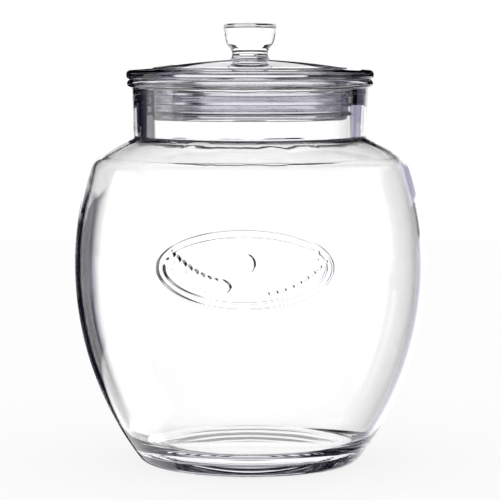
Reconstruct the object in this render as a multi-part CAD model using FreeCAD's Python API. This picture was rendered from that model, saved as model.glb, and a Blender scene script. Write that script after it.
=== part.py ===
import FreeCAD, Part
import math
import os

from FreeCAD import Vector

# Glass storage jar with a push-in glass lid. Millimetres, +Z up.
# The origin is the middle of the ring that the jar stands on.
# Every piece is turned about the Z axis, so each profile is drawn as (radius, height).

# Jar: barrel
belly_radius = 98.0          # outside, at the widest ring
belly_height = 110.0
lower_side_radius = 180.0    # arc from the belly down to the heel
upper_side_radius = 176.0    # arc from the belly up to the shoulder
heel_round = 8.0
body_wall = 3.0              # blown wall of barrel and shoulder

# Jar: foot
floor_glass = 7.0            # glass at the middle of the base
push_up = 3.5                # hollow under the base, at the middle
foot_ring_width = 5.0        # flat ring that the jar stands on
foot_ring_round = 1.0        # inner edge of that ring
inside_floor_rise = 1.5      # the floor inside follows the push-up
inside_heel_round = 20.0

# Jar: shoulder and neck
shoulder_top_height = 181.5  # where the shoulder meets the neck
shoulder_tightening = 25.0   # the shoulder's crown arc is this much tighter than the belly
shoulder_slope = 18.0        # degrees below level, at the neck
shoulder_round = 14.0        # outside, between side and shoulder
bore_radius = 57.5           # inside of the mouth
bore_foot_round = 3.0        # the bore's lower edge, inside the shoulder
neck_wall = 7.3              # thick pressed neck
neck_height = 32.3           # from the shoulder to the rim
neck_flare = 1.0             # the neck is this much wider at the lip
neck_foot_round = 1.6

# Jar: lip
lip_overhang = 2.6           # bead beyond the neck
lip_height = 4.4
lip_round = 2.1
mouth_round = 1.5            # inner edge of the rim

# Lid: flange and crown
lid_overhang = 0.4           # flange beyond the lip
flange_thickness = 5.0       # at its edge
flange_edge_round = 2.2
flange_rise = 1.1            # the flange climbs this much to the step
step_inset = 0.2             # the step stands just inside the plug below it
step_height = 0.5
brow_inset = 10.0            # from the step to the brow, where the crown begins
brow_rise = 1.3
crown_rise = 3.0             # from the brow to the knob
crown_bulge = 0.3

# Lid: plug that drops into the bore
plug_gap = 3.3               # from the plug to the bore, all round
plug_wall = 5.0
plug_toe = 3.2               # below the seal
plug_toe_round = 2.2
plug_root_round = 1.2        # under the flange
hollow_draft = 1.5           # the hollow is this much narrower at its top
hollow_round = 5.0
crown_glass = 6.0            # between the hollow and the brow

# Lid: knob, heights above the crown
knob_foot_radius = 10.9
knob_waist_radius = 9.9
knob_waist_height = 3.15
knob_hip_radius = 13.0
knob_hip_height = 8.7
knob_hip_round = 2.5
knob_top_radius = 14.9
knob_top_height = 19.9
knob_side_bulge = 0.25
knob_edge_round = 1.6
knob_dome = 0.9

# Seal: silicone ring in a groove round the plug, with fins that wipe the bore
seal_top_gap = 6.6           # from the flange down to the ring
seal_height = 12.0
seal_groove = 1.0            # depth of the groove
seal_core = 1.6              # thickness of the ring between its fins
fin_count = 3
fin_root = 2.0               # thickness of a fin where it leaves the ring
fin_tip = 0.8
fin_sweep = 1.0              # the tips stand this much above the middle of their roots
fin_clearance = 0.1          # to the bore

# Radii and heights that follow from these
shoulder_crown_radius = belly_radius - shoulder_tightening
neck_foot_radius = bore_radius + neck_wall
neck_top_radius = neck_foot_radius + neck_flare
lip_radius = neck_top_radius + lip_overhang
lid_radius = lip_radius + lid_overhang
plug_radius = bore_radius - plug_gap
step_radius = plug_radius - step_inset
brow_radius = step_radius - brow_inset
groove_radius = plug_radius - seal_groove
fin_tip_radius = bore_radius - fin_clearance

rim_height = shoulder_top_height + neck_height
seal_top = rim_height - seal_top_gap
seal_bottom = seal_top - seal_height
plug_bottom = seal_bottom - plug_toe
flange_top = rim_height + flange_thickness
step_foot = flange_top + flange_rise
step_top = step_foot + step_height
brow_height = step_top + brow_rise
crown_height = brow_height + crown_rise

# The two side arcs of the barrel share an upright tangent at the belly.
lower_centre = (belly_radius - lower_side_radius, belly_height)
upper_centre = (belly_radius - upper_side_radius, belly_height)
slope = math.radians(shoulder_slope)
shoulder_centre = (neck_foot_radius - shoulder_crown_radius * math.sin(slope),
                   shoulder_top_height - shoulder_crown_radius * math.cos(slope))


def at(radius, height):
    return Vector(radius, 0, height)


def line(start, end):
    return Part.LineSegment(at(*start), at(*end)).toShape()


def outline(*points):
    """Straight edges from point to point."""
    return [line(start, end) for start, end in zip(points, points[1:])]


def arc(start, end, centre):
    """Arc from start to end, the short way round a centre."""
    radius = math.dist(start, centre)
    chord = ((start[0] + end[0]) / 2 - centre[0], (start[1] + end[1]) / 2 - centre[1])
    reach = radius / math.hypot(*chord)
    middle = (centre[0] + chord[0] * reach, centre[1] + chord[1] * reach)
    return Part.Arc(at(*start), at(*middle), at(*end)).toShape()


def bowed(start, end, bulge):
    """Arc from start to end whose middle stands off the chord, to its right-hand side."""
    length = math.dist(start, end)
    middle = ((start[0] + end[0]) / 2 + (end[1] - start[1]) / length * bulge,
              (start[1] + end[1]) / 2 - (end[0] - start[0]) / length * bulge)
    return Part.Arc(at(*start), at(*middle), at(*end)).toShape()


def domed(top, edge):
    """Arc from the axis, where it is level, down to an edge point."""
    rise = top - edge[1]
    radius = (edge[0] ** 2 + rise ** 2) / (2 * rise)
    return arc((0, top), edge, (0, top - radius))


def radius_at(height, centre, radius):
    """Outer radius of a profile circle at a height."""
    return centre[0] + math.sqrt(radius ** 2 - (height - centre[1]) ** 2)


def height_at(distance, centre, radius):
    """Upper height of a profile circle at a distance from the axis."""
    return centre[1] + math.sqrt(radius ** 2 - (distance - centre[0]) ** 2)


def crossing(centre_a, radius_a, centre_b, radius_b):
    """The upper crossing of two profile circles."""
    apart = math.dist(centre_a, centre_b)
    way = ((centre_b[0] - centre_a[0]) / apart, (centre_b[1] - centre_a[1]) / apart)
    along = (radius_a ** 2 - radius_b ** 2 + apart ** 2) / (2 * apart)
    aside = math.sqrt(radius_a ** 2 - along ** 2)
    points = [(centre_a[0] + way[0] * along + side * way[1] * aside,
               centre_a[1] + way[1] * along - side * way[0] * aside) for side in (1, -1)]
    return max(points, key=lambda point: point[1])


def turned(edges):
    """Solid made by turning a closed profile about the Z axis."""
    face = Part.Face(Part.Wire(edges))
    return face.revolve(Vector(0, 0, 0), Vector(0, 0, 1), 360)


def rounded(solid, corners):
    """Rounds the circular edges at (radius, height), each with its own fillet."""
    for radius, height, fillet in corners:
        edges = [edge for edge in solid.Edges
                 if not edge.Degenerated and isinstance(edge.Curve, Part.Circle)
                 and abs(edge.Curve.Radius - radius) < 0.01
                 and abs(edge.Curve.Center.z - height) < 0.01]
        solid = solid.makeFillet(fillet, edges)
    return solid


def foot_hollow():
    """The shallow dome under the base and the round where it meets the ring that the jar stands on."""
    heel_centre = radius_at(heel_round, lower_centre, lower_side_radius - heel_round)
    edge = heel_centre - foot_ring_width
    dome_radius = (edge ** 2 + push_up ** 2) / (2 * push_up)
    dome_centre = (0, push_up - dome_radius)
    reach = dome_radius + foot_ring_round
    round_centre = (math.sqrt(reach ** 2 - (foot_ring_round - dome_centre[1]) ** 2), foot_ring_round)
    touch = (round_centre[0] * dome_radius / reach,
             dome_centre[1] + (round_centre[1] - dome_centre[1]) * dome_radius / reach)
    ring_foot = (round_centre[0], 0)
    return ring_foot, [arc((0, push_up), touch, dome_centre), arc(touch, ring_foot, round_centre)]


def jar_outside():
    """The whole jar without its inside; the base has a shallow dome within the ring that it stands on."""
    foot = (radius_at(0, lower_centre, lower_side_radius), 0)
    ring_foot, hollow = foot_hollow()
    belly = (belly_radius, belly_height)
    shoulder = crossing(upper_centre, upper_side_radius, shoulder_centre, shoulder_crown_radius)
    neck_foot = (neck_foot_radius, shoulder_top_height)
    lip_foot = rim_height - lip_height
    block = turned([
        *hollow,
        line(ring_foot, foot),
        arc(foot, belly, lower_centre),
        arc(belly, shoulder, upper_centre),
        arc(shoulder, neck_foot, shoulder_centre),
        *outline(neck_foot, (neck_top_radius, lip_foot), (lip_radius, lip_foot),
                 (lip_radius, rim_height), (0, rim_height), (0, push_up)),
    ])
    return rounded(block, [
        (*foot, heel_round),
        (*shoulder, shoulder_round),
        (*neck_foot, neck_foot_round),
        (lip_radius, lip_foot, lip_round),
        (lip_radius, rim_height, lip_round),
    ])


def jar_inside():
    """The space that the glass was blown around: the outside arcs, one wall further in."""
    lower = lower_side_radius - body_wall
    upper = upper_side_radius - body_wall
    crown = shoulder_crown_radius - body_wall
    floor_middle = push_up + floor_glass
    floor_edge = floor_middle - inside_floor_rise
    corner = (radius_at(floor_edge, lower_centre, lower), floor_edge)
    belly = (belly_radius - body_wall, belly_height)
    shoulder = crossing(upper_centre, upper, shoulder_centre, crown)
    bore_foot = (bore_radius, height_at(bore_radius, shoulder_centre, crown))
    space = turned([
        domed(floor_middle, corner),
        arc(corner, belly, lower_centre),
        arc(belly, shoulder, upper_centre),
        arc(shoulder, bore_foot, shoulder_centre),
        *outline(bore_foot, (bore_radius, rim_height), (0, rim_height), (0, floor_middle)),
    ])
    return rounded(space, [
        (*corner, inside_heel_round),
        (*shoulder, shoulder_round - body_wall),
        (*bore_foot, bore_foot_round),
    ])


def jar():
    glass = jar_outside().cut(jar_inside())
    return rounded(glass, [(bore_radius, rim_height, mouth_round)])


def knob_edges():
    """Waist, hip and cup of the knob, from the crown up to the axis."""
    foot = (knob_foot_radius, crown_height)
    waist = (knob_waist_radius, crown_height + knob_waist_height)
    neck = (knob_foot_radius, crown_height + 2 * knob_waist_height)
    hip = (knob_hip_radius, crown_height + knob_hip_height)
    top = (knob_top_radius, crown_height + knob_top_height)
    return hip, top, [
        Part.Arc(at(*foot), at(*waist), at(*neck)).toShape(),
        line(neck, hip),
        bowed(hip, top, knob_side_bulge),
        domed(top[1] + knob_dome, top).reversed(),
    ]


def lid():
    hip, top, knob = knob_edges()
    hollow_radius = plug_radius - plug_wall
    hollow_top = brow_height - crown_glass
    hollow_top_radius = hollow_radius - hollow_draft
    glass = turned([
        *outline((0, hollow_top), (hollow_top_radius, hollow_top), (hollow_radius, plug_bottom),
                 (plug_radius, plug_bottom), (plug_radius, seal_bottom), (groove_radius, seal_bottom),
                 (groove_radius, seal_top), (plug_radius, seal_top), (plug_radius, rim_height),
                 (lid_radius, rim_height), (lid_radius, flange_top), (step_radius, step_foot),
                 (step_radius, step_top), (brow_radius, brow_height)),
        bowed((brow_radius, brow_height), (knob_foot_radius, crown_height), crown_bulge),
        *knob,
        line((0, top[1] + knob_dome), (0, hollow_top)),
    ])
    return rounded(glass, [
        (hollow_top_radius, hollow_top, hollow_round),
        (hollow_radius, plug_bottom, plug_toe_round),
        (plug_radius, plug_bottom, plug_toe_round),
        (plug_radius, rim_height, plug_root_round),
        (lid_radius, rim_height, flange_edge_round),
        (lid_radius, flange_top, flange_edge_round),
        (*hip, knob_hip_round),
        (*top, knob_edge_round),
    ])


def seal():
    """Ring with swept fins, spaced evenly from its foot to its head."""
    core_radius = groove_radius + seal_core
    pitch = (seal_height - fin_root) / (fin_count - 1)
    points = [(groove_radius, seal_bottom)]
    for number in range(fin_count):
        root = seal_bottom + pitch * number
        tip = root + fin_root / 2 - fin_sweep
        points += [
            (core_radius, root),
            (fin_tip_radius, tip - fin_tip / 2),
            (fin_tip_radius, tip + fin_tip / 2),
            (core_radius, root + fin_root),
        ]
    points += [(groove_radius, seal_top), (groove_radius, seal_bottom)]
    return turned(outline(*points))


os.makedirs("parts", exist_ok=True)
for name, shape in (("jar", jar()), ("lid", lid()), ("seal", seal())):
    solid, = shape.Solids                    # each piece is one solid
    solid.exportStep(f"parts/{name}.step")
    print(name, "valid" if solid.isValid() else "broken", round(solid.Volume / 1000, 1), "cubic centimetres")
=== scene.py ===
import bpy
import math
import numpy as np
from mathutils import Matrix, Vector


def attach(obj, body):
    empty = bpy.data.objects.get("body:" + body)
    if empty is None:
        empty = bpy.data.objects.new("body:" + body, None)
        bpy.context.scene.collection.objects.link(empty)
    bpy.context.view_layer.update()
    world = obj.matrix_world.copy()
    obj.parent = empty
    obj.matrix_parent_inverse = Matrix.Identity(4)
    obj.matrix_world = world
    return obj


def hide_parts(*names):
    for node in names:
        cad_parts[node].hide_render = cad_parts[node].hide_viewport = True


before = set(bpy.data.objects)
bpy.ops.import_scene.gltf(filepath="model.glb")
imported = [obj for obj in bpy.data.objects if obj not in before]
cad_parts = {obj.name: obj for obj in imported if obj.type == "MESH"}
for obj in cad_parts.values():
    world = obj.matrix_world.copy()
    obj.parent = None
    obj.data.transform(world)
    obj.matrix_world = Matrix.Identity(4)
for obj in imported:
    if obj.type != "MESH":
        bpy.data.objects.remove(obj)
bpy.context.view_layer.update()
mm = 0.001


# Profiles are runs of lines and arcs in (radius, height), in millimetres.

def lineRun(start, end):
    start, end = np.array(start, float), np.array(end, float)
    length = np.linalg.norm(end - start)
    way = (end - start) / length
    return {"length": length, "bend": 0.0, "point": lambda s: start + way * s, "way": lambda s: way}


def arcRun(start, end, centre):
    start, end, centre = (np.array(p, float) for p in (start, end, centre))
    radius = np.linalg.norm(start - centre)
    first = math.atan2(*(start - centre)[::-1])
    sweep = (math.atan2(*(end - centre)[::-1]) - first + math.pi) % math.tau - math.pi
    side = math.copysign(1, sweep)

    def point(s):
        angle = first + side * s / radius
        return centre + radius * np.array((math.cos(angle), math.sin(angle)))

    def way(s):
        angle = first + side * s / radius
        return side * np.array((-math.sin(angle), math.cos(angle)))

    return {"length": abs(sweep) * radius, "bend": abs(sweep), "point": point, "way": way}


def bowedRun(start, end, bulge):      # arc whose middle stands off the chord, to its right
    start, end = np.array(start, float), np.array(end, float)
    chord = end - start
    length = np.linalg.norm(chord)
    radius = (length ** 2 / 4 + bulge ** 2) / (2 * bulge)
    right = np.array((chord[1], -chord[0])) / length
    return arcRun(start, end, (start + end) / 2 - right * (radius - bulge))


def domedRun(top, edge):              # level at the axis, down to an edge point
    rise = top - edge[1]
    radius = (edge[0] ** 2 + rise ** 2) / (2 * rise)
    return arcRun((0, top), edge, (0, top - radius))


def flipped(run):
    return {"length": run["length"], "bend": run["bend"],
            "point": lambda s: run["point"](run["length"] - s),
            "way": lambda s: -run["way"](run["length"] - s)}


# Where a fillet leaves one run and meets the next: the crossing of both, moved aside by its radius.
def filletBetween(before, after, radius):
    leave, join = before["way"](before["length"]), after["way"](0)
    side = math.copysign(1, leave[0] * join[1] - leave[1] * join[0])

    def offset(run, s):
        way = run["way"](s)
        return run["point"](s) + side * radius * np.array((-way[1], way[0]))

    turn = math.acos(max(-1, min(1, float(leave @ join))))
    back = radius * math.tan(turn / 2)
    guess = np.array((before["length"] - back, back))
    step = 1e-4
    for _ in range(40):
        gap = offset(before, guess[0]) - offset(after, guess[1])
        slopes = np.column_stack(((offset(before, guess[0] + step) - offset(before, guess[0])) / step,
                                  -(offset(after, guess[1] + step) - offset(after, guess[1])) / step))
        guess = guess - np.linalg.solve(slopes, gap)
    return guess[0], guess[1], offset(before, guess[0])


# Points along the runs, with the corner after run i rounded by rounds[i]. Fine runs take closer points.
def sampledOutline(runs, rounds, fine=None, longest=4.0, sharpest=6.0):
    starts = [0.0] * len(runs)
    ends = [run["length"] for run in runs]
    corners = {}
    for index, radius in rounds.items():
        ends[index], starts[index + 1], centre = filletBetween(runs[index], runs[index + 1], radius)
        corners[index] = arcRun(runs[index]["point"](ends[index]),
                                runs[index + 1]["point"](starts[index + 1]), centre)
    points = []

    def add(run, start, end, spacing):
        share = run["bend"] * (end - start) / run["length"]
        count = max(1, math.ceil((end - start) / spacing), math.ceil(math.degrees(share) / sharpest))
        for step in range(count + 1):
            point = run["point"](start + (end - start) * step / count)
            if not points or np.linalg.norm(point - points[-1]) > 1e-4:
                points.append(point)

    for index, run in enumerate(runs):
        add(run, starts[index], ends[index], (fine or {}).get(index, longest))
        if index in corners:
            add(corners[index], 0, corners[index]["length"], longest)
    return np.array(points)


def upperCrossing(centreA, radiusA, centreB, radiusB):
    apart = math.dist(centreA, centreB)
    way = ((centreB[0] - centreA[0]) / apart, (centreB[1] - centreA[1]) / apart)
    along = (radiusA ** 2 - radiusB ** 2 + apart ** 2) / (2 * apart)
    aside = math.sqrt(radiusA ** 2 - along ** 2)
    points = [(centreA[0] + way[0] * along + side * way[1] * aside,
               centreA[1] + way[1] * along - side * way[0] * aside) for side in (1, -1)]
    return max(points, key=lambda point: point[1])


def radiusAt(height, centre, radius):
    return centre[0] + math.sqrt(radius ** 2 - (height - centre[1]) ** 2)


def heightAt(distance, centre, radius):
    return centre[1] + math.sqrt(radius ** 2 - (distance - centre[0]) ** 2)


# Turns an outline about Z. An open outline starts and ends on the axis; angle 0 faces -Y.
def turnedMesh(name, outline, angles, closed=False):
    rings = outline if closed else outline[1:-1]
    columns = len(angles)
    radii, heights = rings[:, 0][:, None], rings[:, 1][:, None]
    verts = np.stack((radii * np.sin(angles), -radii * np.cos(angles), heights + 0 * angles), axis=-1)
    verts = verts.reshape(-1, 3)
    faces = []
    spans = len(rings) if closed else len(rings) - 1
    for row in range(spans):
        below, above = row * columns, (row + 1) % len(rings) * columns
        for column in range(columns):
            after = (column + 1) % columns
            faces.append((below + column, below + after, above + after, above + column))
    if not closed:
        poles = len(verts)
        verts = np.vstack((verts, (0, 0, outline[0][1]), (0, 0, outline[-1][1])))
        last = (len(rings) - 1) * columns
        for column in range(columns):
            after = (column + 1) % columns
            faces.append((poles, after, column))
            faces.append((poles + 1, last + column, last + after))
    mesh = bpy.data.meshes.new(name)
    mesh.from_pydata((verts * mm).tolist(), [], faces)
    mesh.polygons.foreach_set("use_smooth", [True] * len(mesh.polygons))
    mesh.update()
    piece = bpy.data.objects.new(name, mesh)
    bpy.context.scene.collection.objects.link(piece)
    return piece


def evenAngles(count):
    return np.arange(count) * math.tau / count


def closerAtFront(half, step, elsewhere):     # degrees
    front = np.arange(-half, half + step / 2, step)
    rest = np.linspace(half, 360 - half, round((360 - 2 * half) / elsewhere) + 1)[1:-1]
    return np.radians(np.concatenate((front, rest)))


def fromHex(text, alpha=1.0):
    channels = [int(text[i:i + 2], 16) / 255 for i in (1, 3, 5)]
    return tuple(c / 12.92 if c <= 0.04045 else ((c + 0.055) / 1.055) ** 2.4 for c in channels) + (alpha,)


# Adds a node with its settings and links. A node given as a source stands for its first output.
def addNode(tree, kind, links=None, **settings):
    node = tree.nodes.new(kind)
    for key, value in settings.items():
        setattr(node, key, value)
    for socket, given in (links or {}).items():
        for source in given if isinstance(given, list) else [given]:
            if isinstance(source, bpy.types.Node):
                source = source.outputs[0]
            if isinstance(source, bpy.types.NodeSocket):
                tree.links.new(source, node.inputs[socket])
            else:
                node.inputs[socket].default_value = source
    return node


def newMaterial(name):
    material = bpy.data.materials.new(name)
    material.use_nodes = True
    material.node_tree.nodes.clear()
    return material, material.node_tree


def clearGlass(name):
    # Soda-lime glass, fire-polished: perfectly smooth, clear with a trace of lilac-grey in the depth.
    material, tree = newMaterial(name)
    glass = addNode(tree, "ShaderNodeBsdfPrincipled", {
        "Base Color": fromHex("#ffffff"), "Roughness": 0.0, "IOR": 1.52, "Transmission Weight": 1.0})
    clear = addNode(tree, "ShaderNodeBsdfTransparent")
    path = addNode(tree, "ShaderNodeLightPath")
    mix = addNode(tree, "ShaderNodeMixShader", {0: path.outputs["Is Shadow Ray"], 1: glass, 2: clear})
    depth = addNode(tree, "ShaderNodeVolumeAbsorption", {"Color": fromHex("#dcdcea"), "Density": 4.0})
    addNode(tree, "ShaderNodeOutputMaterial", {"Surface": mix, "Volume": depth})
    return material


def siliconeRubber(name):
    # Clear silicone, moulded: soft sheen, lets light through with a faint haze and no sharp image.
    material, tree = newMaterial(name)
    rubber = addNode(tree, "ShaderNodeBsdfPrincipled", {
        "Base Color": fromHex("#f4f2fa"), "Roughness": 0.12, "IOR": 1.41, "Transmission Weight": 1.0})
    addNode(tree, "ShaderNodeOutputMaterial", {"Surface": rubber})
    return material


# The relief and the uneven glass, as one tree: each input is a size that a glassmaker would name.
reliefInputs = [
    ("Geometry", "NodeSocketGeometry", None),
    ("Material", "NodeSocketMaterial", None),
    ("Relief", "NodeSocketFloat", 1.0),            # how far lines and leaves stand out
    ("Line half", "NodeSocketFloat", 0.25),        # half the flat top of a raised line
    ("Edge", "NodeSocketFloat", 0.55),             # width of the slope beside it
    ("Middle x", "NodeSocketFloat", -2.9),
    ("Middle z", "NodeSocketFloat", 116.6),
    ("Oval half width", "NodeSocketFloat", 46.0),
    ("Oval half height", "NodeSocketFloat", 21.0),
    ("Border gap", "NodeSocketFloat", 3.6),
    ("Boss radius", "NodeSocketFloat", 5.2),
    ("Boss height", "NodeSocketFloat", 3.0),       # of its middle, over the emblem's
    ("Kernel length", "NodeSocketFloat", 6.4),
    ("Kernel slimness", "NodeSocketFloat", 0.36),
    ("Kernel lean", "NodeSocketFloat", 0.62),      # radians from the stem
    ("Kernels", "NodeSocketInt", 9),
    ("Wave depth", "NodeSocketFloat", 0.3),
    ("Wave length", "NodeSocketFloat", 16.0),
    ("Wave seed", "NodeSocketFloat", 4.0),
]
stemPoints = {"Start": (7.5, 0, -9.0), "Middle": (22.0, 0, -9.5), "End": (36.5, 0, 3.0)}
upright = (math.pi / 2, 0, 0)


# The emblem is drawn flat, in millimetres about its middle: x across, z up.
def emblemLines(tree, value):
    lines = []
    for inset in (0.0, 1.0):
        gap = addNode(tree, "ShaderNodeMath", {0: value["Border gap"], 1: inset}, operation="MULTIPLY")
        wide, high = value["Oval half width"], value["Oval half height"]
        across = addNode(tree, "ShaderNodeMath", {0: wide, 1: gap}, operation="SUBTRACT")
        upward = addNode(tree, "ShaderNodeMath", {0: high, 1: gap}, operation="SUBTRACT")
        ring = addNode(tree, "GeometryNodeCurvePrimitiveCircle", {"Resolution": 128, "Radius": 1.0})
        ring = addNode(tree, "GeometryNodeTransform", {"Geometry": ring, "Rotation": upright})
        size = addNode(tree, "ShaderNodeCombineXYZ", {0: across, 1: 1.0, 2: upward})
        lines.append(addNode(tree, "GeometryNodeTransform", {"Geometry": ring, "Scale": size}))
    return lines


# One ear, to the right of the middle: a bent stem with a kernel leaning out on each side of every place.
def wheatEar(tree, value):
    stem = addNode(tree, "GeometryNodeCurveQuadraticBezier", {"Resolution": 24, **stemPoints})
    places = addNode(tree, "GeometryNodeCurveToPoints", {"Curve": stem, "Count": value["Kernels"]})
    along = addNode(tree, "FunctionNodeAlignRotationToVector", {
        "Vector": places.outputs["Tangent"]}, axis="X", pivot_axis="Y")
    disc = addNode(tree, "GeometryNodeMeshCircle", {"Vertices": 24, "Radius": 0.5}, fill_type="NGON")
    disc = addNode(tree, "GeometryNodeTransform", {"Geometry": disc, "Rotation": upright})
    length = value["Kernel length"]
    slim = addNode(tree, "ShaderNodeMath", {0: length, 1: value["Kernel slimness"]}, operation="MULTIPLY")
    half = addNode(tree, "ShaderNodeMath", {0: length, 1: 0.5}, operation="MULTIPLY")
    size = addNode(tree, "ShaderNodeCombineXYZ", {0: length, 1: 1.0, 2: slim})
    ahead = addNode(tree, "ShaderNodeCombineXYZ", {0: half})
    kernel = addNode(tree, "GeometryNodeTransform", {"Geometry": disc, "Scale": size})
    kernel = addNode(tree, "GeometryNodeTransform", {"Geometry": kernel, "Translation": ahead})
    kernels = []
    for side in (-1, 1):
        lean = addNode(tree, "ShaderNodeMath", {0: value["Kernel lean"], 1: side}, operation="MULTIPLY")
        turn = addNode(tree, "FunctionNodeAxisAngleToRotation", {"Axis": (0, 1, 0), "Angle": lean})
        facing = addNode(tree, "FunctionNodeRotateRotation", {
            "Rotation": along, "Rotate By": turn}, rotation_space="LOCAL")
        kernels.append(addNode(tree, "GeometryNodeInstanceOnPoints", {
            "Points": places.outputs["Points"], "Instance": kernel, "Rotation": facing}))
    return stem, kernels


def raisedDrawing(tree, value):
    lines = emblemLines(tree, value)
    stem, kernels = wheatEar(tree, value)
    faces = []
    for side in (1, -1):
        flip = (side, 1, 1)
        lines.append(addNode(tree, "GeometryNodeTransform", {"Geometry": stem, "Scale": flip}))
        for kernel in kernels:
            faces.append(addNode(tree, "GeometryNodeTransform", {"Geometry": kernel, "Scale": flip}))
    boss = addNode(tree, "GeometryNodeMeshCircle", {
        "Vertices": 48, "Radius": value["Boss radius"]}, fill_type="NGON")
    lift = addNode(tree, "ShaderNodeCombineXYZ", {2: value["Boss height"]})
    faces.append(addNode(tree, "GeometryNodeTransform", {
        "Geometry": boss, "Translation": lift, "Rotation": upright}))
    allFaces = addNode(tree, "GeometryNodeJoinGeometry", {0: faces})
    allLines = addNode(tree, "GeometryNodeJoinGeometry", {0: lines})
    return (addNode(tree, "GeometryNodeCurveToMesh", {"Curve": allLines}),
            addNode(tree, "GeometryNodeRealizeInstances", {"Geometry": allFaces}))


def pressedGlassTree():
    tree = bpy.data.node_groups.new("pressedGlass", "GeometryNodeTree")
    for name, kind, default in reliefInputs:
        socket = tree.interface.new_socket(name, in_out="INPUT", socket_type=kind)
        if default is not None:
            socket.default_value = default
    tree.interface.new_socket("Geometry", in_out="OUTPUT", socket_type="NodeSocketGeometry")
    value = addNode(tree, "NodeGroupInput").outputs
    raisedLines, raisedFaces = raisedDrawing(tree, value)

    # Every point of the outer front looks straight back at the flat drawing.
    place = addNode(tree, "GeometryNodeInputPosition")
    parts = addNode(tree, "ShaderNodeSeparateXYZ", {0: place})
    drawn = []
    for axis, middle in (("X", "Middle x"), ("Z", "Middle z")):
        size = addNode(tree, "ShaderNodeMath", {0: parts.outputs[axis], 1: mm}, operation="DIVIDE")
        drawn.append(addNode(tree, "ShaderNodeMath", {0: size, 1: value[middle]}, operation="SUBTRACT"))
    flat = addNode(tree, "ShaderNodeCombineXYZ", {0: drawn[0], 2: drawn[1]})
    toLines = addNode(tree, "GeometryNodeProximity", {
        "Target": raisedLines, "Source Position": flat}, target_element="EDGES")
    toFaces = addNode(tree, "GeometryNodeProximity", {
        "Target": raisedFaces, "Source Position": flat}, target_element="FACES")
    outerEdge = addNode(tree, "ShaderNodeMath", {0: value["Line half"], 1: value["Edge"]}, operation="ADD")
    line = addNode(tree, "ShaderNodeMapRange", {
        "Value": toLines.outputs["Distance"], "From Min": outerEdge, "From Max": value["Line half"]})
    face = addNode(tree, "ShaderNodeMapRange", {
        "Value": toFaces.outputs["Distance"], "From Min": value["Edge"], "From Max": 0.0})
    front = addNode(tree, "GeometryNodeInputNamedAttribute", {"Name": "outerFront"}, data_type="FLOAT")
    either = addNode(tree, "ShaderNodeMath", {0: line, 1: face}, operation="MAXIMUM")
    raised = addNode(tree, "ShaderNodeMath", {
        0: either, 1: front.outputs["Attribute"]}, operation="MULTIPLY")
    raised = addNode(tree, "ShaderNodeMath", {0: raised, 1: value["Relief"]}, operation="MULTIPLY")

    # Pressed and blown walls are never quite even: long low waves, strongest where the inside cooled last.
    uneven = addNode(tree, "GeometryNodeInputNamedAttribute", {"Name": "uneven"}, data_type="FLOAT")
    size = addNode(tree, "ShaderNodeMath", {0: 1 / mm, 1: value["Wave length"]}, operation="DIVIDE")
    waves = addNode(tree, "ShaderNodeTexNoise", {
        "Vector": place, "W": value["Wave seed"], "Scale": size, "Detail": 2.0,
        "Roughness": 0.45}, noise_dimensions="4D")
    wave = addNode(tree, "ShaderNodeMath", {0: waves, 1: 0.5}, operation="SUBTRACT")
    wave = addNode(tree, "ShaderNodeMath", {0: wave, 1: uneven.outputs["Attribute"]}, operation="MULTIPLY")
    wave = addNode(tree, "ShaderNodeMath", {0: wave, 1: 2.0}, operation="MULTIPLY")
    depth = addNode(tree, "ShaderNodeMath", {
        0: wave, 1: value["Wave depth"], 2: raised}, operation="MULTIPLY_ADD")

    normal = addNode(tree, "GeometryNodeInputNormal")
    depth = addNode(tree, "ShaderNodeMath", {0: depth, 1: mm}, operation="MULTIPLY")
    push = addNode(tree, "ShaderNodeVectorMath", {0: normal, "Scale": depth}, operation="SCALE")
    shaped = addNode(tree, "GeometryNodeSetPosition", {"Geometry": value["Geometry"], "Offset": push})
    real = addNode(tree, "GeometryNodeRealizeInstances", {"Geometry": shaped})
    named = addNode(tree, "GeometryNodeSetMaterial", {"Geometry": real, "Material": value["Material"]})
    addNode(tree, "NodeGroupOutput", {0: named})
    return tree


def shapedBy(tree, piece, **sizes):
    modifier = piece.modifiers.new("shaping", "NODES")
    modifier.node_group = tree
    for item in tree.interface.items_tree:
        name = item.name
        if item.in_out == "INPUT" and name in sizes:
            modifier[item.identifier] = sizes[name]
    view = bpy.context.evaluated_depsgraph_get()
    mesh = bpy.data.meshes.new_from_object(piece.evaluated_get(view))
    piece.modifiers.remove(modifier)
    flat = piece.data
    piece.data = mesh
    mesh.name = piece.name
    bpy.data.meshes.remove(flat)
    return piece


# A value for each point of the rings, ring by ring, and none for the two poles.
def pointAttribute(piece, name, perRing, perColumn):
    values = np.outer(perRing, perColumn).astype(float).ravel()
    attribute = piece.data.attributes.new(name, "FLOAT", "POINT")
    attribute.data.foreach_set("value", np.concatenate((values, (0.0, 0.0))))


jarSizes = {
    "bellyRadius": 98.0, "bellyHeight": 110.0, "lowerSide": 180.0, "upperSide": 176.0,
    "heelRound": 8.0, "bodyWall": 3.0,
    "floorGlass": 7.0, "pushUp": 3.5, "footRing": 5.0, "footRingRound": 1.0,
    "insideRise": 1.5, "insideHeel": 20.0,
    "shoulderTop": 181.5, "tightening": 25.0, "shoulderSlope": 18.0, "shoulderRound": 14.0,
    "bore": 57.5, "boreFootRound": 3.0, "neckWall": 7.3, "neckHeight": 32.3, "neckFlare": 1.0,
    "neckFootRound": 1.6, "lipOverhang": 2.6, "lipHeight": 4.4, "lipFootRound": 0.4, "lipRound": 2.1,
    "mouthRound": 1.5,
    "emblemLow": 92.0, "emblemHigh": 141.0, "frontHalf": 30.5,        # the emblem's part of the wall
    "frontStep": 0.28, "rowStep": 0.5,                                # degrees and mm between its points
    "sideStep": 3.0, "ringStep": 5.0, "ringTurn": 8.0,                # and at most, elsewhere
}


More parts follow.
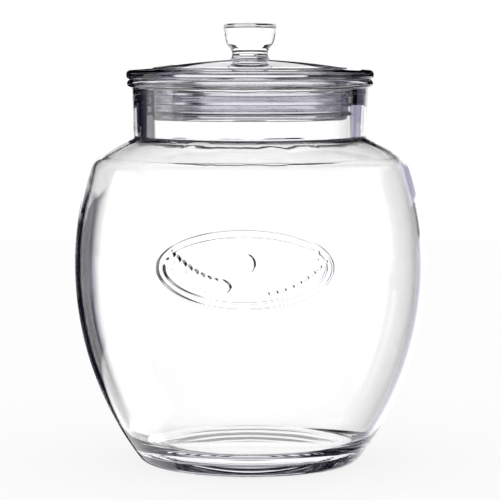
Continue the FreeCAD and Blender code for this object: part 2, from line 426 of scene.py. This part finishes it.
def jarOutline(s):
    lower = (s["bellyRadius"] - s["lowerSide"], s["bellyHeight"])
    upper = (s["bellyRadius"] - s["upperSide"], s["bellyHeight"])
    slope = math.radians(s["shoulderSlope"])
    crownRadius = s["bellyRadius"] - s["tightening"]
    neckFoot = (s["bore"] + s["neckWall"], s["shoulderTop"])
    neckTop = neckFoot[0] + s["neckFlare"]
    lip = neckTop + s["lipOverhang"]
    crown = (neckFoot[0] - crownRadius * math.sin(slope), s["shoulderTop"] - crownRadius * math.cos(slope))
    rim = s["shoulderTop"] + s["neckHeight"]
    lipFoot = rim - s["lipHeight"]
    wall = s["bodyWall"]
    foot = (radiusAt(0, lower, s["lowerSide"]), 0)
    ring = (radiusAt(s["heelRound"], lower, s["lowerSide"] - s["heelRound"]) - s["footRing"], 0)
    belly = (s["bellyRadius"], s["bellyHeight"])
    underEmblem = (radiusAt(s["emblemLow"], lower, s["lowerSide"]), s["emblemLow"])
    overEmblem = (radiusAt(s["emblemHigh"], upper, s["upperSide"]), s["emblemHigh"])
    shoulder = upperCrossing(upper, s["upperSide"], crown, crownRadius)
    floor = s["pushUp"] + s["floorGlass"]
    corner = (radiusAt(floor - s["insideRise"], lower, s["lowerSide"] - wall), floor - s["insideRise"])
    inBelly = (belly[0] - wall, belly[1])
    inShoulder = upperCrossing(upper, s["upperSide"] - wall, crown, crownRadius - wall)
    boreFoot = (s["bore"], heightAt(s["bore"], crown, crownRadius - wall))
    runs = [
        domedRun(s["pushUp"], ring),                       # under the base
        lineRun(ring, foot),
        arcRun(foot, underEmblem, lower),
        arcRun(underEmblem, belly, lower),
        arcRun(belly, overEmblem, upper),
        arcRun(overEmblem, shoulder, upper),
        arcRun(shoulder, neckFoot, crown),
        lineRun(neckFoot, (neckTop, lipFoot)),
        lineRun((neckTop, lipFoot), (lip, lipFoot)),
        lineRun((lip, lipFoot), (lip, rim)),
        lineRun((lip, rim), (s["bore"], rim)),
        lineRun((s["bore"], rim), boreFoot),               # down the inside
        arcRun(boreFoot, inShoulder, crown),
        arcRun(inShoulder, inBelly, upper),
        arcRun(inBelly, corner, lower),
        flipped(domedRun(floor, corner)),
    ]
    rounds = {0: s["footRingRound"], 1: s["heelRound"], 5: s["shoulderRound"], 6: s["neckFootRound"],
              7: s["lipFootRound"], 8: s["lipRound"], 9: s["lipRound"], 10: s["mouthRound"],
              11: s["boreFootRound"], 12: s["shoulderRound"] - wall, 14: s["insideHeel"]}
    emblemRuns = {3: s["rowStep"], 4: s["rowStep"]}
    return sampledOutline(runs, rounds, emblemRuns, s["ringStep"], s["ringTurn"]), rim


# The lid sits on the rim and its plug in the bore.
lidSizes = {
    "overhang": 0.4, "edgeThickness": 5.0, "edgeRound": 2.2,
    "flangeRise": 1.1, "stepInset": 0.2, "stepHeight": 0.5, "stepRound": 0.2,
    "browInset": 10.0, "browRise": 1.3, "crownRise": 3.0, "crownBulge": 0.3,
    "plugGap": 3.3, "plugWall": 5.0, "plugToe": 3.2, "toeRound": 2.2, "rootRound": 1.2,
    "grooveDepth": 1.0, "grooveDrop": 6.6,
    "hollowDraft": 1.5, "hollowRound": 5.0, "crownGlass": 6.0,
    "knobFoot": 10.9, "knobWaist": 9.9, "waistHeight": 3.15, "knobHip": 13.0, "hipHeight": 8.7,
    "hipRound": 2.5, "knobTop": 14.9, "topHeight": 19.9, "sideBulge": 0.25, "topRound": 1.6,
    "topDome": 0.9, "browRound": 3.0, "knobFootRound": 0.8, "waistRound": 1.0, "soft": 0.25,
    "columns": 288,
}
sealSizes = {
    "height": 12.0, "core": 1.6, "fins": 3, "finRoot": 2.0, "finTip": 0.8, "finSweep": 1.0,
    "boreGap": 0.1, "softEdge": 0.15, "columns": 240,
}


def lidOutline(s, jar, seal, rim):
    edge = jar["bore"] + jar["neckWall"] + jar["neckFlare"] + jar["lipOverhang"] + s["overhang"]
    plug = jar["bore"] - s["plugGap"]
    grooveTop = rim - s["grooveDrop"]
    grooveFoot = grooveTop - seal["height"]
    toe = grooveFoot - s["plugToe"]
    top = rim + s["edgeThickness"]
    stepRadius = plug - s["stepInset"]
    stepFoot = top + s["flangeRise"]
    stepTop = stepFoot + s["stepHeight"]
    brow = stepTop + s["browRise"]
    crown = brow + s["crownRise"]
    groove = plug - s["grooveDepth"]
    hollow = plug - s["plugWall"]
    hollowTop = brow - s["crownGlass"]
    narrow = hollow - s["hollowDraft"]
    foot = (s["knobFoot"], crown)
    waist = (s["knobWaist"], crown + s["waistHeight"])
    neck = (s["knobFoot"], crown + 2 * s["waistHeight"])
    hip = (s["knobHip"], crown + s["hipHeight"])
    knob = (s["knobTop"], crown + s["topHeight"])
    sag = foot[0] - waist[0]
    waistRadius = (s["waistHeight"] ** 2 + sag ** 2) / (2 * sag)
    corners = [
        (0, hollowTop), (narrow, hollowTop), (hollow, toe), (plug, toe), (plug, grooveFoot),
        (groove, grooveFoot), (groove, grooveTop), (plug, grooveTop), (plug, rim), (edge, rim),
        (edge, top), (stepRadius, stepFoot), (stepRadius, stepTop), (stepRadius - s["browInset"], brow),
    ]
    runs = [lineRun(a, b) for a, b in zip(corners, corners[1:])]
    runs += [
        bowedRun(corners[-1], foot, s["crownBulge"]),
        arcRun(foot, neck, (waist[0] + waistRadius, waist[1])),
        lineRun(neck, hip),
        bowedRun(hip, knob, s["sideBulge"]),
        flipped(domedRun(knob[1] + s["topDome"], knob)),
    ]
    rounds = {0: s["hollowRound"], 1: s["toeRound"], 2: s["toeRound"], 7: s["rootRound"],
              8: s["edgeRound"], 9: s["edgeRound"], 10: s["stepRound"], 11: s["stepRound"],
              12: s["browRound"], 13: s["knobFootRound"], 14: s["waistRound"], 15: s["hipRound"],
              16: s["topRound"]}
    rounds.update({index: s["soft"] for index in (3, 4, 5, 6)})     # pressed glass has no sharp corner
    return sampledOutline(runs, rounds)


def sealOutline(s, jar, lid, rim):
    inside = jar["bore"] - lid["plugGap"] - lid["grooveDepth"]
    bottom = rim - lid["grooveDrop"] - s["height"]
    tipRadius = jar["bore"] - s["boreGap"]
    core = inside + s["core"]
    pitch = (s["height"] - s["finRoot"]) / (s["fins"] - 1)
    points = [(inside, bottom)]
    for number in range(s["fins"]):
        root = bottom + pitch * number
        tip = root + s["finRoot"] / 2 - s["finSweep"]
        points += [(core, root), (tipRadius, tip - s["finTip"] / 2),
                   (tipRadius, tip + s["finTip"] / 2), (core, root + s["finRoot"])]
    points += [(inside, bottom + s["height"]), (inside, bottom)]
    runs = [lineRun(a, b) for a, b in zip(points, points[1:])]
    rounds = {index: s["softEdge"] for index in range(len(runs) - 1)}
    return sampledOutline(runs, rounds)[:-1]


# How uneven the inside is, as shares of the wave depth, and the heights where one share gives way to
# the next. The base and the rim are smooth, and so is all of the outside.
wallWaves = {
    "body": 0.12, "shoulder": 1.0, "neck": 0.5,
    "baseTop": 12.0, "shoulderFoot": 150.0, "neckFoot": 165.0, "rimDepth": 3.0,
}


def glassJar(s, waves, tree, material):
    outline, rim = jarOutline(s)
    angles = closerAtFront(s["frontHalf"], s["frontStep"], s["sideStep"])
    piece = turnedMesh("jarGlassBody", outline, angles)
    rings = outline[1:-1]
    radii, heights = rings[:, 0], rings[:, 1]
    lipRing = int(np.argmax(heights > rim - 0.5))      # the outside ends where the rings reach the rim
    outside = np.arange(len(rings)) < lipRing
    emblemRows = outside & (heights > s["emblemLow"]) & (heights < s["emblemHigh"])
    frontOnly = np.cos(angles) > math.cos(math.radians(s["frontHalf"] - 0.5))
    pointAttribute(piece, "outerFront", emblemRows, frontOnly)

    top = rim - waves["rimDepth"]
    inNeck = (radii > s["bore"] - 1) & (heights > waves["neckFoot"]) & (heights < top)
    inShoulder = heights > waves["shoulderFoot"]
    uneven = np.where(inNeck, waves["neck"], np.where(inShoulder, waves["shoulder"], waves["body"]))
    uneven = np.where(outside | (heights < waves["baseTop"]) | (heights > top), 0.0, uneven)
    pointAttribute(piece, "uneven", uneven, np.ones(len(angles)))
    shapedBy(tree, piece, Material=material)
    print("jar", len(rings), "rings,", len(piece.data.polygons), "faces")
    return piece, rim


jarGlass = clearGlass("sodaLimeGlassBlown")
lidGlass = clearGlass("sodaLimeGlassPressed")
silicone = siliconeRubber("siliconeClear")
print("materials", [material.name for material in (jarGlass, lidGlass, silicone)])

jar, rimHeight = glassJar(jarSizes, wallWaves, pressedGlassTree(), jarGlass)
lidProfile = lidOutline(lidSizes, jarSizes, sealSizes, rimHeight)
lid = turnedMesh("lidGlassBody", lidProfile, evenAngles(lidSizes["columns"]))
lid.data.materials.append(lidGlass)
print("lid", len(lid.data.polygons), "faces")
sealProfile = sealOutline(sealSizes, jarSizes, lidSizes, rimHeight)
seal = turnedMesh("sealRing", sealProfile, evenAngles(sealSizes["columns"]), closed=True)
seal.data.materials.append(silicone)
print("seal", len(seal.data.polygons), "faces")

finished = ((jar, "jar", "jar_glass"), (lid, "lid", "lid_glass"), (seal, "seal", "silicone"))
for piece, node, slotName in finished:
    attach(piece, "root")
    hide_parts(node)
print("pieces on the frame", [piece.name for piece, node, slotName in finished])

studio = {
    "brightness": 1.2,        # of the field as the glass shows it, which makes up for the glass's own losses
    "windowRight": 25.0,      # degrees from a line of sight to the flag on its right, at the neck's height
    "windowLeft": 17.0,
    "bodyRight": 24.0,        # the same, lower down
    "bodyLeft": 8.0,
    "neckAbove": -2.3,        # degrees above level where the wider window takes over
    "windowTop": 19.0,
    "overhead": 25.0,
    "windowFoot": -45.0,
    "backLight": 0.22,        # of the windows at the front and on the right
    "lidBackLight": 0.4,      # the same at the lid's height
    "dimFrom": (-0.1, 0.1),   # x less y, where the dimmer windows begin
    "slantHalf": 24.0,        # half the width of the two slanting windows, seen from higher up
    "slantHigh": (-9.0, -38.0),
    "slantLow": (-19.0, -50.0),
    "slantFrom": (0.5, 0.6),  # x less y, or y less x, where they begin
    "flagRadius": 0.165,      # metres, dark cards hung round the lid
    "flagFoot": 0.205,
    "flagTop": 0.2335,
    "shadeRadii": (0.05, 0.16),
    "greyFoot": 0.150,        # grey cards under them, on the right of each line of sight
    "greyTop": 0.205,
    "greySpan": (50.0, 73.0),
    "cardRadius": 0.10,       # a white card round the knob
    "cardFoot": 0.236,
    "cardTop": 0.30,
    "cardLight": (1.2, 0.6),  # on the left and at the back, and across from there
    "floorRadius": 1.5,
    "floorSides": 96,
    "floorWhite": 0.85,       # how much of the floor is plain white, the rest being lit paper
}


# The two ends of the ramp are the first two stops.
def setStops(ramp, stops):
    elements = ramp.color_ramp.elements
    for place, colour in stops[2:]:
        elements.new(place).color = fromHex(colour)
    for element, (place, colour) in zip((elements[0], elements[-1]), stops[:2]):
        element.position = place
        element.color = fromHex(colour)


# Limits of a height between two angles above level.
def heightRange(low, high):
    return {"From Min": math.sin(math.radians(low)), "From Max": math.sin(math.radians(high))}


# How far round its quarter a bearing is, from 0 to 1.
def bearingShare(tree, x, y, offset):
    turn = addNode(tree, "ShaderNodeMath", {0: x, 1: y}, operation="ARCTAN2")
    quarters = addNode(tree, "ShaderNodeMath", {0: turn, 1: math.pi / 2}, operation="DIVIDE")
    positive = addNode(tree, "ShaderNodeMath", {0: quarters, 1: 4 + offset}, operation="ADD")
    return addNode(tree, "ShaderNodeMath", {0: positive}, operation="FRACT")


# A window from so many degrees on the left of a quarter's middle to so many on its right.
def windowStops(left, right, soft=True):
    def place(degrees):
        return 0.5 + degrees / 90

    night, shade, black, white = "#1a1826", "#15131f", "#08070f", "#ffffff"
    if not soft:
        return [(0.0, shade), (1.0, shade), (place(-left - 2), shade), (place(-left), white),
                (place(right), white), (place(right + 2), shade)]
    return [(0.0, night), (1.0, night), (place(-left - 6), black), (place(-left - 2), shade),
            (place(-left), white), (place(right), white), (place(right + 4), "#dedce8"),
            (place(right + 9), "#8d8b9e"), (place(right + 15), "#5a586c")]


def slantStops(half):
    share = half / 90
    black, white = "#000000", "#ffffff"
    return [(0.0, black), (1.0, black), (0.5 - share - 0.06, black), (0.5 - share, white),
            (0.5 + share, white), (0.5 + share + 0.06, black)]


def seenInGlass(tree):
    path = addNode(tree, "ShaderNodeLightPath")
    return addNode(tree, "ShaderNodeMath", {
        0: path.outputs["Is Glossy Ray"], 1: path.outputs["Is Transmission Ray"]}, operation="MAXIMUM")


def straightWindows(tree, s, x, y, height, dimSide):
    straight = bearingShare(tree, x, y, 0.5)
    low = addNode(tree, "ShaderNodeValToRGB", {0: straight})
    setStops(low, windowStops(s["bodyLeft"], s["bodyRight"]))
    wide = addNode(tree, "ShaderNodeValToRGB", {0: straight})
    setStops(wide, windowStops(s["windowLeft"], s["windowRight"], soft=False))
    upper = addNode(tree, "ShaderNodeMapRange", {
        "Value": height, **heightRange(s["neckAbove"] - 0.2, s["neckAbove"] + 0.2)})
    field = addNode(tree, "ShaderNodeMix", {0: upper, 6: low, 7: wide}, data_type="RGBA")
    foot = addNode(tree, "ShaderNodeMapRange", {
        "Value": height, **heightRange(s["windowFoot"] + 2, s["windowFoot"] - 2)})
    field = addNode(tree, "ShaderNodeMix", {
        0: foot, 6: field.outputs[2], 7: fromHex("#0c0b14")}, data_type="RGBA")
    top = addNode(tree, "ShaderNodeMapRange", {
        "Value": height, **heightRange(s["windowTop"], s["overhead"])})
    field = addNode(tree, "ShaderNodeMix", {
        0: top, 6: field.outputs[2], 7: fromHex("#1a1826")}, data_type="RGBA")

    # The windows at the back and on the left are bright, and the ones across from them dim.
    loss = addNode(tree, "ShaderNodeMath", {
        0: upper, 1: s["lidBackLight"] - s["backLight"], 2: s["backLight"] - 1}, operation="MULTIPLY_ADD")
    share = addNode(tree, "ShaderNodeMath", {0: dimSide, 1: loss, 2: 1.0}, operation="MULTIPLY_ADD")
    return addNode(tree, "ShaderNodeVectorMath", {0: field.outputs[2], "Scale": share}, operation="SCALE")


def studioWorld(s):
    world = bpy.data.worlds.new("studio")
    bpy.context.scene.world = world
    world.use_nodes = True
    tree = world.node_tree
    tree.nodes.clear()
    way = addNode(tree, "ShaderNodeTexCoord")
    parts = addNode(tree, "ShaderNodeSeparateXYZ", {0: way.outputs["Generated"]})
    x, y, height = parts.outputs
    right = addNode(tree, "ShaderNodeMath", {0: x, 1: y}, operation="SUBTRACT")
    left = addNode(tree, "ShaderNodeMath", {0: y, 1: x}, operation="SUBTRACT")
    dimFrom, dimTo = s["dimFrom"]
    dimSide = addNode(tree, "ShaderNodeMapRange", {"Value": right, "From Min": dimFrom, "From Max": dimTo})
    field = straightWindows(tree, s, x, y, height, dimSide)

    # Two slanting windows: one low at the back on the left, one higher at the front on the right.
    slant = addNode(tree, "ShaderNodeValToRGB", {0: bearingShare(tree, x, y, 0.0)})
    setStops(slant, slantStops(s["slantHalf"]))
    slantFrom, slantTo = s["slantFrom"]
    for (high, low), side in ((s["slantLow"], left), (s["slantHigh"], right)):
        beside = addNode(tree, "ShaderNodeMapRange", {
            "Value": side, "From Min": slantFrom, "From Max": slantTo})
        under = addNode(tree, "ShaderNodeMapRange", {"Value": height, **heightRange(high + 0.5, high - 0.5)})
        over = addNode(tree, "ShaderNodeMapRange", {"Value": height, **heightRange(low - 1, low + 1)})
        band = addNode(tree, "ShaderNodeMath", {0: under, 1: over}, operation="MULTIPLY")
        share = addNode(tree, "ShaderNodeMath", {0: band, 1: beside}, operation="MULTIPLY")
        lighter = addNode(tree, "ShaderNodeMix", {
            0: share, 6: field, 7: slant}, data_type="RGBA", blend_type="LIGHTEN")
        field = lighter.outputs[2]

    glass = seenInGlass(tree)
    colour = addNode(tree, "ShaderNodeMix", {0: glass, 6: fromHex("#ffffff"), 7: field}, data_type="RGBA")
    strength = addNode(tree, "ShaderNodeMath", {
        0: glass, 1: s["brightness"] - 1, 2: 1.0}, operation="MULTIPLY_ADD")
    light = addNode(tree, "ShaderNodeBackground", {"Color": colour.outputs[2], "Strength": strength})
    addNode(tree, "ShaderNodeOutputWorld", {"Surface": light})


# White paper that keeps the jar's faint shadow and isn't seen through the glass.
def paleFloor(s):
    mesh = bpy.data.meshes.new("floor")
    radius, sides = s["floorRadius"], s["floorSides"]
    rim = [(radius * math.cos(turn), radius * math.sin(turn), 0) for turn in evenAngles(sides)]
    mesh.from_pydata(rim, [], [tuple(range(sides))])
    floor = bpy.data.objects.new("floor", mesh)
    bpy.context.scene.collection.objects.link(floor)
    material, tree = newMaterial("floorPaper")
    matt = addNode(tree, "ShaderNodeBsdfDiffuse", {"Color": fromHex("#f4f4f4")})
    white = addNode(tree, "ShaderNodeEmission", {"Color": fromHex("#ffffff")})
    unseen = addNode(tree, "ShaderNodeBsdfTransparent")
    path = addNode(tree, "ShaderNodeLightPath")
    near = addNode(tree, "ShaderNodeMath", {
        0: path.outputs["Is Camera Ray"], 1: s["floorWhite"]}, operation="MULTIPLY")
    paper = addNode(tree, "ShaderNodeMixShader", {0: near, 1: matt, 2: white})
    mix = addNode(tree, "ShaderNodeMixShader", {0: seenInGlass(tree), 1: paper, 2: unseen})
    addNode(tree, "ShaderNodeOutputMaterial", {"Surface": mix})
    mesh.materials.append(material)


# Cards on part of a circle, from one edge to the other, which only the glass shows.
def cardsAround(name, edges, spans, colour, strength):
    steps = 24
    verts, faces = [], []
    for first, last in spans:
        base = len(verts)
        for step in range(steps + 1):
            turn = math.radians(first + (last - first) * step / steps)
            verts += [(radius * math.sin(turn), radius * math.cos(turn), height) for radius, height in edges]
        faces += [(base + 2 * i, base + 2 * i + 2, base + 2 * i + 3, base + 2 * i + 1) for i in range(steps)]
    mesh = bpy.data.meshes.new(name)
    mesh.from_pydata(verts, [], faces)
    cards = bpy.data.objects.new(name, mesh)
    bpy.context.scene.collection.objects.link(cards)
    material, tree = newMaterial(name)
    lit = addNode(tree, "ShaderNodeEmission", {"Color": fromHex(colour), "Strength": strength})
    unseen = addNode(tree, "ShaderNodeBsdfTransparent")
    mix = addNode(tree, "ShaderNodeMixShader", {0: seenInGlass(tree), 1: unseen, 2: lit})
    addNode(tree, "ShaderNodeOutputMaterial", {"Surface": mix})
    mesh.materials.append(material)


def cardList(s):
    def upCard(radius, foot, top):
        return ((radius, foot), (radius, top))

    quarters = [(90 * n + s["windowRight"], 90 * n + 90 - s["windowLeft"]) for n in range(4)]
    black, grey, white = "#0c0b14", "#9c9aae", "#ffffff"
    flags = upCard(s["flagRadius"], s["flagFoot"], s["flagTop"])
    shade = [(radius, s["flagTop"]) for radius in s["shadeRadii"]]
    greys = upCard(s["flagRadius"], s["greyFoot"], s["greyTop"])
    knob = upCard(s["cardRadius"], s["cardFoot"], s["cardTop"])
    bright, dim = s["cardLight"]
    return [
        ("darkCards", flags, quarters, black, 1.0),
        ("lidShade", shade, [(0.0, 360.0)], black, 1.0),
        ("greyCard", greys, [s["greySpan"]], grey, s["brightness"]),
        ("knobCard", knob, [(210.0, 420.0)], white, bright),
        ("knobCardDim", knob, [(60.0, 210.0)], white, dim),
    ]


studioWorld(studio)
paleFloor(studio)
cardSets = cardList(studio)
for name, edges, spans, colour, strength in cardSets:
    cardsAround(name, edges, spans, colour, strength)
print("studio", len(cardSets), "sets of cards")

cameraPlace = {"distance": 1.272, "height": 0.2308, "aimHeight": 0.1184, "lens": 164.0}
camera = bpy.data.objects.new("camera", bpy.data.cameras.new("camera"))
bpy.context.scene.collection.objects.link(camera)
camera.location = (0, -cameraPlace["distance"], cameraPlace["height"])
aim = Vector((0, 0, cameraPlace["aimHeight"])) - camera.location
camera.rotation_euler = aim.to_track_quat("-Z", "Y").to_euler()
camera.data.lens = cameraPlace["lens"]
camera.data.sensor_width = 36
bpy.context.scene.camera = camera
print("camera at", [round(side, 3) for side in camera.location])

scene = bpy.context.scene
scene.view_settings.view_transform = "Standard"
scene.cycles.max_bounces = 32
scene.cycles.transmission_bounces = 32
scene.cycles.glossy_bounces = 16
scene.cycles.transparent_max_bounces = 32
scene.cycles.caustics_refractive = False
scene.cycles.caustics_reflective = False
